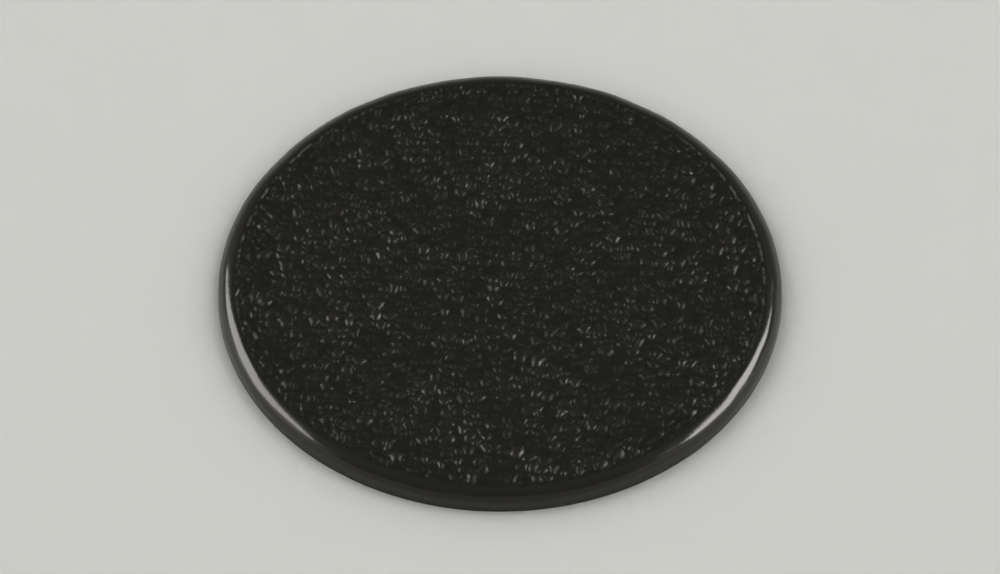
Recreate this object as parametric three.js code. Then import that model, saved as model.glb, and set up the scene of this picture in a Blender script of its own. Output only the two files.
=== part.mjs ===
// A self-adhesive screw cover cap: one thin disc, punched from rigid plastic sheet.
// It lies flat with its sticky face down, at the origin, and its show face up, along +Z.
// All lengths are in millimetres.

import * as THREE from 'three';

// The punched disc: its widest size, across the foot of the wall, and its full thickness.
const CAP_DIAMETER = 14.3;
const CAP_THICKNESS = 0.5;

// The blade pulls the top edge of the sheet down into a rounded shoulder.
const SHOULDER_WIDTH = 0.38;
const SHOULDER_DROP = 0.28;

// Below the shoulder the blade leaves a wall that leans out a little towards its foot.
const WALL_LEAN = 0.01;

// How finely the round shapes are divided.
const SHOULDER_STEPS = 7;
const ROUND_STEPS = 144;

// The section from the axis at the foot, out along the sticky face, up the wall and the
// quarter-ellipse shoulder, and back to the axis along the show face.
function capSection() {
  const footRadius = CAP_DIAMETER / 2;
  const wallTopRadius = footRadius - WALL_LEAN;
  const shoulder = new THREE.EllipseCurve(
    wallTopRadius - SHOULDER_WIDTH,
    CAP_THICKNESS - SHOULDER_DROP,
    SHOULDER_WIDTH,
    SHOULDER_DROP,
    0,
    Math.PI / 2,
  );
  return [
    new THREE.Vector2(0, 0),
    new THREE.Vector2(footRadius, 0),
    ...shoulder.getPoints(SHOULDER_STEPS),
    new THREE.Vector2(0, CAP_THICKNESS),
  ];
}

// The lathe turns its section about Y, so the geometry is turned upright afterwards.
function capGeometry() {
  const geometry = new THREE.LatheGeometry(capSection(), ROUND_STEPS);
  geometry.rotateX(Math.PI / 2);
  return geometry;
}

const blackPlastic = new THREE.MeshStandardMaterial({
  color: 0x262524,
  roughness: 0.55,
  metalness: 0,
});

const coverCap = new THREE.Mesh(capGeometry(), blackPlastic);
coverCap.name = 'cover_cap';

const screwCoverCap = new THREE.Group();
screwCoverCap.add(coverCap);

export default screwCoverCap;
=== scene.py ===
import math

import bpy
import numpy as np
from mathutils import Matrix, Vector, noise


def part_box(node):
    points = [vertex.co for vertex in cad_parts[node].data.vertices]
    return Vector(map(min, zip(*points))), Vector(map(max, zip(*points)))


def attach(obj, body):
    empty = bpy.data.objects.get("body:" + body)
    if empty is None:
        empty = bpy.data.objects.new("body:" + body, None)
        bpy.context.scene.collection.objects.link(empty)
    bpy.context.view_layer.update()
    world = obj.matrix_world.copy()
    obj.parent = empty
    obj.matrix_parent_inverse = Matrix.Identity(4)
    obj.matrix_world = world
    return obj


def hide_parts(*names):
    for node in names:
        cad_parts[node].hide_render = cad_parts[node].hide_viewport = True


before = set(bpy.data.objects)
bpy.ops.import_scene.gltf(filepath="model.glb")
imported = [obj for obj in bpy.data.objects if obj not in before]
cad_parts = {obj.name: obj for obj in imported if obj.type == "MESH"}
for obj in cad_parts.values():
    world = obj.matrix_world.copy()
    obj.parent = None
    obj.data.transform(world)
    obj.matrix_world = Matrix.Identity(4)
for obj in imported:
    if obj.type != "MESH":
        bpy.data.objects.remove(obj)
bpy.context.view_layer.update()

# The looks of a self-adhesive screw cover cap: one thin disc of black rigid plastic sheet.
# Everything is in metres, and the sizes of the cap itself come from the frame.

MM = 0.001

CAP_LOW, CAP_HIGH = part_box("cover_cap")
CAP_RADIUS = (CAP_HIGH.x - CAP_LOW.x) / 2
CAP_THICKNESS = CAP_HIGH.z - CAP_LOW.z
CAP_CENTRE = (CAP_LOW + CAP_HIGH) / 2

# The punched rim: the rounded shoulder, and the wall that leans out a little to its foot.
SHOULDER_WIDTH = 0.38 * MM
SHOULDER_DROP = 0.28 * MM
WALL_LEAN = 0.01 * MM
WALL_TOP_RADIUS = CAP_RADIUS - WALL_LEAN
FACE_RADIUS = WALL_TOP_RADIUS - SHOULDER_WIDTH
SHOULDER_RINGS = 12
WALL_RINGS = 3

# Only the foot of the wall turns by more than this, so it alone stays a sharp edge.
SHARP_ANGLE = math.radians(60)

# The punch leaves the rim a little in or out, here and there, of its true line.
RIM_WAVE = 0.03 * MM
RIM_WAVE_LENGTH = 1.6 * MM
RIM_WAVE_FALL, RIM_WAVE_GAP, RIM_WAVE_OCTAVES = 1.0, 2.0, 2

# The blade also draws the outermost stretch of the show face down, before the shoulder starts.
SAG_START = FACE_RADIUS - 0.9 * MM
SAG_DEPTH = 0.03 * MM

# The grain of the show face: rounded pebbles of uneven height, with narrow valleys between.
# Shares are of the depth of the grain, and rates are of waves to a pebble.
FACE_RINGS = 158
PEBBLE_PITCH = 0.30 * MM
PEBBLE_DEPTH = 0.036 * MM
GRAIN_FADE = 0.12 * MM
OUTLINE_WOBBLE, WOBBLE_RATE = 0.35, 1.3
DOME_REACH, DOME_POWER = 0.33, 1.6
UNEVEN_SHARE, UNEVEN_RATE = 0.28, 5.7
SWELL_SHARE, SWELL_RATE = 0.14, 0.5
SWELL_OFFSET = Vector((7.1, 3.3, 0))
FINE_SHARE, FINE_RATE = 0.10, 3.1

# The noise that bends the outlines of the pebbles takes its place from a seed, and without one
# it would take it from the clock.
GRAIN_SEED = 1

# The black sheet. Noise scales are in waves to a metre, and details are in octaves. A pair of
# roughnesses is the least and the most, and the pair of pore strengths is face and rim.
PLASTIC_IOR = 1.52
PLASTIC_GLINT = (1.0, 0.98, 0.93, 1)
DARK_TONE = (0.0058, 0.0051, 0.0034, 1)
LIGHT_TONE = (0.0080, 0.0071, 0.0050, 1)
RIM_TONE = (0.0172, 0.0165, 0.0138, 1)
WALL_TONE = (0.029, 0.0275, 0.0235, 1)
TONE_SPAN = (0.3, 0.75)
PLAIN_DETAIL = 2
TONE_SCALE, TONE_DETAIL = 0.9 / MM, 4
# Share of the face's tone left at the bottom of the grain's valleys: painted shade, darker the
# deeper the valley.
VALLEY_PAINTED_SHADE = 0.3
RIM_BLEND = 0.06 * MM
FACE_ROUGHNESS = (0.28, 0.36)
FACE_SATIN_SCALE, FACE_SATIN_DETAIL = 4 / MM, 3
RIM_ROUGHNESS = (0.11, 0.19)
RIM_SATIN_SCALE = 1.1 / MM
WALL_ROUGHNESS = (0.36, 0.44)

# The heights between which the finish of the shoulder gives way to that of the wall.
WALL_BLEND = (0.41 * MM, 0.35 * MM)

PORE_SCALE = 14 / MM
PORE_DEPTH = 0.006 * MM
PORE_STRENGTH = (0.6, 0.08)
DRAW_MARK_SCALE = 9 / MM
DRAW_MARK_STRETCH = (1, 1, 0.08)
DRAW_MARK_DEPTH = 0.004 * MM
DRAW_MARK_STRENGTH = 0.25

# The camera looks as the photograph does, and frames the one cap.
CAMERA_ELEVATION = 49.5
CAMERA_DISTANCE = 0.257
CLIP_START, CLIP_END = 0.01, 10.0
SENSOR_WIDTH = 36.0
FRAME_WIDTH_PX = 1000
CAP_WIDTH_PX = 564
CAP_LENS = SENSOR_WIDTH * CAP_WIDTH_PX / FRAME_WIDTH_PX * CAMERA_DISTANCE / (2 * CAP_RADIUS)

# The floor is pale, satin and slightly translucent, like coated paper.
FLOOR_HALF_SIZE = 3.0
FLOOR_COLOR = (0.622, 0.628, 0.594, 1)
FLOOR_ROUGHNESS = 0.4
FLOOR_IOR = 1.6
FLOOR_SPREAD = 2.4 * MM

# The studio: lamps at one distance, in a room that is lighter near the horizon than overhead.
LIGHT_DISTANCE = 0.7
ROOM_COLOR = (1, 1, 0.97, 1)
ROOM_LOW, ROOM_HIGH = 0.5, 0.08
ROOM_FALL = (0.05, 0.55)


def new_material(name):
    material = bpy.data.materials.new(name)
    material.use_nodes = True
    nodes = material.node_tree.nodes
    return material, nodes, material.node_tree.links, nodes["Principled BSDF"]


def make_camera():
    data = bpy.data.cameras.new("camera")
    data.sensor_width = SENSOR_WIDTH
    data.lens = CAP_LENS
    data.clip_start, data.clip_end = CLIP_START, CLIP_END
    camera = bpy.data.objects.new("camera", data)
    bpy.context.scene.collection.objects.link(camera)
    elevation = math.radians(CAMERA_ELEVATION)
    back = Vector((0, -math.cos(elevation), math.sin(elevation)))
    camera.location = CAP_CENTRE + back * CAMERA_DISTANCE
    camera.rotation_euler = back.to_track_quat("Z", "Y").to_euler()
    bpy.context.scene.camera = camera


def smooth_step(share):
    share = np.clip(share, 0, 1)
    return share * share * (3 - 2 * share)


def ring_start(ring):
    """How many points of the face lie inside this ring: one, then six more for each ring."""
    return 1 + 3 * ring * (ring - 1) if ring else 0


def face_points(rings):
    """Points spread evenly over the unit disc, in rings that each hold six more than the last."""
    reach = [np.zeros(1)]
    turn = [np.zeros(1)]
    for ring in range(1, rings + 1):
        reach.append(np.full(6 * ring, ring / rings))
        turn.append(np.arange(6 * ring) * math.pi / (3 * ring))
    reach, turn = np.concatenate(reach), np.concatenate(turn)
    return reach * np.cos(turn), reach * np.sin(turn)


def face_triangles(rings):
    """Even triangles between each ring of points and the next."""
    triangles = []
    for ring in range(rings):
        inside, outside = ring_start(ring), ring_start(ring + 1)
        inner_count, outer_count = max(6 * ring, 1), 6 * (ring + 1)
        sector, step = np.divmod(np.arange(outer_count), ring + 1)
        inner = inside + (sector * ring + step) % inner_count
        outer = outside + np.arange(outer_count)
        triangles.append(np.stack([inner, outer, np.roll(outer, -1)], -1))
        between = step < ring
        following = inside + (sector * ring + step + 1) % inner_count
        triangles.append(np.stack([inner, np.roll(outer, -1), following], -1)[between])
    return np.concatenate(triangles)


def grain_height(x, y):
    """Height of the emboss, from 0 deep in a valley to about 1 on top of a pebble."""
    point = Vector((x / PEBBLE_PITCH, y / PEBBLE_PITCH, 0))
    wobble = OUTLINE_WOBBLE * noise.noise_vector(point * WOBBLE_RATE)
    distances, centres = noise.voronoi(point + wobble)
    edge = distances[1] - distances[0]
    dome = 1 - math.exp(-(edge / DOME_REACH) ** DOME_POWER)
    tall = 1 - UNEVEN_SHARE * (1 - noise.noise(centres[0] * UNEVEN_RATE))
    swell = SWELL_SHARE * noise.noise(point * SWELL_RATE + SWELL_OFFSET)
    fine = FINE_SHARE * noise.noise(point * FINE_RATE)
    return max(dome * tall + swell + fine, 0)


def sag(reach):
    """How far the blade has drawn the top down, this far from the axis."""
    share = np.maximum(reach - SAG_START, 0) / (FACE_RADIUS - SAG_START)
    return SAG_DEPTH * share ** 2


def rim_section():
    """Radius and height down the shoulder, which is a quarter ellipse, and down the wall."""
    section = []
    for step in range(1, SHOULDER_RINGS + 1):
        turn = math.pi / 2 * step / SHOULDER_RINGS
        radius = FACE_RADIUS + SHOULDER_WIDTH * math.sin(turn)
        drop = SHOULDER_DROP * (1 - math.cos(turn))
        section.append((radius, CAP_THICKNESS - drop - sag(radius)))
    wall_height = section[-1][1]
    for step in range(1, WALL_RINGS + 1):
        share = step / WALL_RINGS
        section.append((WALL_TOP_RADIUS + WALL_LEAN * share, wall_height * (1 - share)))
    return section


def rim_wave(across):
    """How far the rim strays inward from its true line, in each of these directions."""
    shape = RIM_WAVE_FALL, RIM_WAVE_GAP, RIM_WAVE_OCTAVES
    places = across * CAP_RADIUS / RIM_WAVE_LENGTH
    return RIM_WAVE * np.array([noise.fractal(Vector((x, y, 0)), *shape) for x, y in places])


def make_cap():
    unit_x, unit_y = face_points(FACE_RINGS)
    x, y = unit_x * FACE_RADIUS, unit_y * FACE_RADIUS
    reach = np.hypot(x, y)
    fade = smooth_step((FACE_RADIUS - reach) / GRAIN_FADE)
    height = np.vectorize(grain_height)(x, y)
    height = np.minimum(height / height[reach < SAG_START].max(), 1)
    z = CAP_THICKNESS - PEBBLE_DEPTH * (1 - height) * fade - sag(reach)
    points = [np.column_stack([x, y, z])]
    triangles = face_triangles(FACE_RINGS).tolist()

    quads = []
    inner = np.arange(ring_start(FACE_RINGS), len(x))
    across = np.column_stack([unit_x[inner], unit_y[inner]])
    wave = rim_wave(across)
    total = len(x)
    for radius, level in rim_section():
        # The rim is true at the edge of the face and at its foot, and strays in between.
        dent = wave * (radius - FACE_RADIUS) / SHOULDER_WIDTH * level / CAP_THICKNESS
        points.append(np.column_stack([across * (radius - dent)[:, None], level - dent]))
        outer = np.arange(total, total + len(inner))
        quads.append(np.stack([inner, outer, np.roll(outer, -1), np.roll(inner, -1)], -1))
        total += len(inner)
        inner = outer
    points.append(np.zeros((1, 3)))
    underside = np.column_stack([inner, np.full(len(inner), total), np.roll(inner, -1)]).tolist()

    mesh = bpy.data.meshes.new("cap_body")
    polygons = triangles + np.concatenate(quads).tolist() + underside
    mesh.from_pydata(np.concatenate(points).tolist(), [], polygons)
    mesh.validate()
    mesh.update()
    mesh.polygons.foreach_set("use_smooth", [True] * len(mesh.polygons))
    mesh.set_sharp_from_angle(angle=SHARP_ANGLE)
    cap = bpy.data.objects.new("cap_body", mesh)
    bpy.context.scene.collection.objects.link(cap)
    return cap


def plastic_material():
    material, nodes, links, shader = new_material("black_sheet")
    shader.inputs["IOR"].default_value = PLASTIC_IOR
    shader.inputs["Specular Tint"].default_value = PLASTIC_GLINT
    place = nodes.new("ShaderNodeTexCoord").outputs["Object"]

    def noise_at(vector, scale, detail=PLAIN_DETAIL):
        texture = nodes.new("ShaderNodeTexNoise")
        texture.inputs["Scale"].default_value = scale
        texture.inputs["Detail"].default_value = detail
        links.new(vector, texture.inputs["Vector"])
        return texture.outputs["Fac"]

    def mapped(value, to, span=(0, 1), kind="LINEAR"):
        node = nodes.new("ShaderNodeMapRange")
        node.interpolation_type = kind
        node.inputs["From Min"].default_value, node.inputs["From Max"].default_value = span
        node.inputs["To Min"].default_value, node.inputs["To Max"].default_value = to
        links.new(value, node.inputs["Value"])
        return node.outputs["Result"]

    def scaled(vector, by):
        node = nodes.new("ShaderNodeVectorMath")
        node.operation = "MULTIPLY"
        node.inputs[1].default_value = by
        links.new(vector, node.inputs[0])
        return node.outputs["Vector"]

    def mixed(share, a, b, kind="FLOAT"):
        """A mix of two values or colours, each of which is a socket or a plain colour."""
        node = nodes.new("ShaderNodeMix")
        node.data_type = kind
        links.new(share, node.inputs["Factor"])
        for socket, source in ((node.inputs["A"], a), (node.inputs["B"], b)):
            if isinstance(source, tuple):
                socket.default_value = source
            else:
                links.new(source, socket)
        return node.outputs["Result"]

    def bumped(height, distance):
        node = nodes.new("ShaderNodeBump")
        node.inputs["Distance"].default_value = distance
        links.new(height, node.inputs["Height"])
        return node

    # Distance from the axis tells the grained face from the smooth rim.
    reach = nodes.new("ShaderNodeVectorMath")
    reach.operation = "LENGTH"
    links.new(scaled(place, (1, 1, 0)), reach.inputs[0])
    edge = (FACE_RADIUS - RIM_BLEND, FACE_RADIUS + RIM_BLEND)
    rim = mapped(reach.outputs["Value"], (0, 1), edge, "SMOOTHSTEP")

    # The tone drifts a little across the sheet, and shade is painted into the valleys of the
    # grain, darkening them.
    # The burnished shoulder is a little lighter, and the parted wall is lighter still.
    ramp = nodes.new("ShaderNodeValToRGB")
    tones = (DARK_TONE, LIGHT_TONE)
    for element, position, tone in zip(ramp.color_ramp.elements, TONE_SPAN, tones):
        element.position = position
        element.color = tone
    links.new(noise_at(place, TONE_SCALE, TONE_DETAIL), ramp.inputs["Fac"])
    split = nodes.new("ShaderNodeSeparateXYZ")
    links.new(place, split.inputs["Vector"])
    valleys = (CAP_THICKNESS - PEBBLE_DEPTH, CAP_THICKNESS)
    # The tone is scaled down towards the valley floors, which paints shade into the grain.
    tone_with_painted_shade = nodes.new("ShaderNodeVectorMath")
    tone_with_painted_shade.operation = "SCALE"
    links.new(ramp.outputs["Color"], tone_with_painted_shade.inputs["Vector"])
    links.new(mapped(split.outputs["Z"], (VALLEY_PAINTED_SHADE, 1), valleys), tone_with_painted_shade.inputs["Scale"])
    low = mapped(split.outputs["Z"], (0, 1), WALL_BLEND, "SMOOTHSTEP")
    rim_tone = mixed(low, RIM_TONE, WALL_TONE, "RGBA")
    colour = mixed(rim, tone_with_painted_shade.outputs["Vector"], rim_tone, "RGBA")
    links.new(colour, shader.inputs["Base Color"])

    # The face is satin, the shoulder is burnished to a slightly uneven gloss, and the wall
    # below it, where the sheet parted, is duller again.
    patches = noise_at(place, RIM_SATIN_SCALE)
    rim_satin = mixed(low, mapped(patches, RIM_ROUGHNESS), mapped(patches, WALL_ROUGHNESS))
    satin = noise_at(place, FACE_SATIN_SCALE, FACE_SATIN_DETAIL)
    face_satin = mapped(satin, FACE_ROUGHNESS)
    links.new(mixed(rim, face_satin, rim_satin), shader.inputs["Roughness"])

    # Fine pores on the face, and faint marks that the blade drew down the wall.
    marks = noise_at(scaled(place, DRAW_MARK_STRETCH), DRAW_MARK_SCALE)
    drawn = bumped(marks, DRAW_MARK_DEPTH)
    drawn.inputs["Strength"].default_value = DRAW_MARK_STRENGTH
    pores = bumped(noise_at(place, PORE_SCALE), PORE_DEPTH)
    links.new(mapped(rim, PORE_STRENGTH), pores.inputs["Strength"])
    links.new(drawn.outputs["Normal"], pores.inputs["Normal"])
    links.new(pores.outputs["Normal"], shader.inputs["Normal"])
    return material


def make_floor():
    size = FLOOR_HALF_SIZE
    mesh = bpy.data.meshes.new("floor")
    corners = [(-size, -size, 0), (size, -size, 0), (size, size, 0), (-size, size, 0)]
    mesh.from_pydata(corners, [], [(0, 1, 2, 3)])
    floor = bpy.data.objects.new("floor", mesh)
    bpy.context.scene.collection.objects.link(floor)
    material, nodes, links, shader = new_material("pale_floor")
    shader.subsurface_method = "BURLEY"
    shader.inputs["Base Color"].default_value = FLOOR_COLOR
    shader.inputs["Roughness"].default_value = FLOOR_ROUGHNESS
    shader.inputs["IOR"].default_value = FLOOR_IOR
    shader.inputs["Subsurface Weight"].default_value = 1
    shader.inputs["Subsurface Radius"].default_value = (1, 1, 1)
    shader.inputs["Subsurface Scale"].default_value = FLOOR_SPREAD
    mesh.materials.append(material)


def make_lamp(name, azimuth, elevation, width, height, power):
    """A flat lamp that faces the cap. Azimuth 0 is to the right, and 90 is behind the cap."""
    data = bpy.data.lights.new(name, "AREA")
    data.shape = "RECTANGLE"
    data.size = width
    data.size_y = height
    data.energy = power
    lamp = bpy.data.objects.new(name, data)
    bpy.context.scene.collection.objects.link(lamp)
    a, e = math.radians(azimuth), math.radians(elevation)
    out = Vector((math.cos(a) * math.cos(e), math.sin(a) * math.cos(e), math.sin(e)))
    lamp.location = out * LIGHT_DISTANCE
    lamp.rotation_euler = out.to_track_quat("Z", "Y").to_euler()


def make_room():
    world = bpy.data.worlds.new("room")
    bpy.context.scene.world = world
    world.use_nodes = True
    nodes, links = world.node_tree.nodes, world.node_tree.links
    background = nodes["Background"]
    background.inputs["Color"].default_value = ROOM_COLOR
    coords = nodes.new("ShaderNodeTexCoord")
    split = nodes.new("ShaderNodeSeparateXYZ")
    fall = nodes.new("ShaderNodeMapRange")
    fall.interpolation_type = "SMOOTHSTEP"
    fall.inputs["From Min"].default_value, fall.inputs["From Max"].default_value = ROOM_FALL
    fall.inputs["To Min"].default_value = ROOM_LOW
    fall.inputs["To Max"].default_value = ROOM_HIGH
    links.new(coords.outputs["Generated"], split.inputs["Vector"])
    links.new(split.outputs["Z"], fall.inputs["Value"])
    links.new(fall.outputs["Result"], background.inputs["Strength"])


make_camera()
noise.seed_set(GRAIN_SEED)
cap = make_cap()
cap.data.materials.append(plastic_material())
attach(cap, "root")
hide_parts("cover_cap")
make_floor()
make_room()

# Two softboxes, to the right and to the left of the cap and behind it.
make_lamp("softbox_right", azimuth=24, elevation=48, width=0.45, height=0.25, power=3.25)
make_lamp("softbox_left", azimuth=152, elevation=42, width=0.50, height=0.34, power=3.25)

bpy.context.scene.view_settings.view_transform = "Standard"
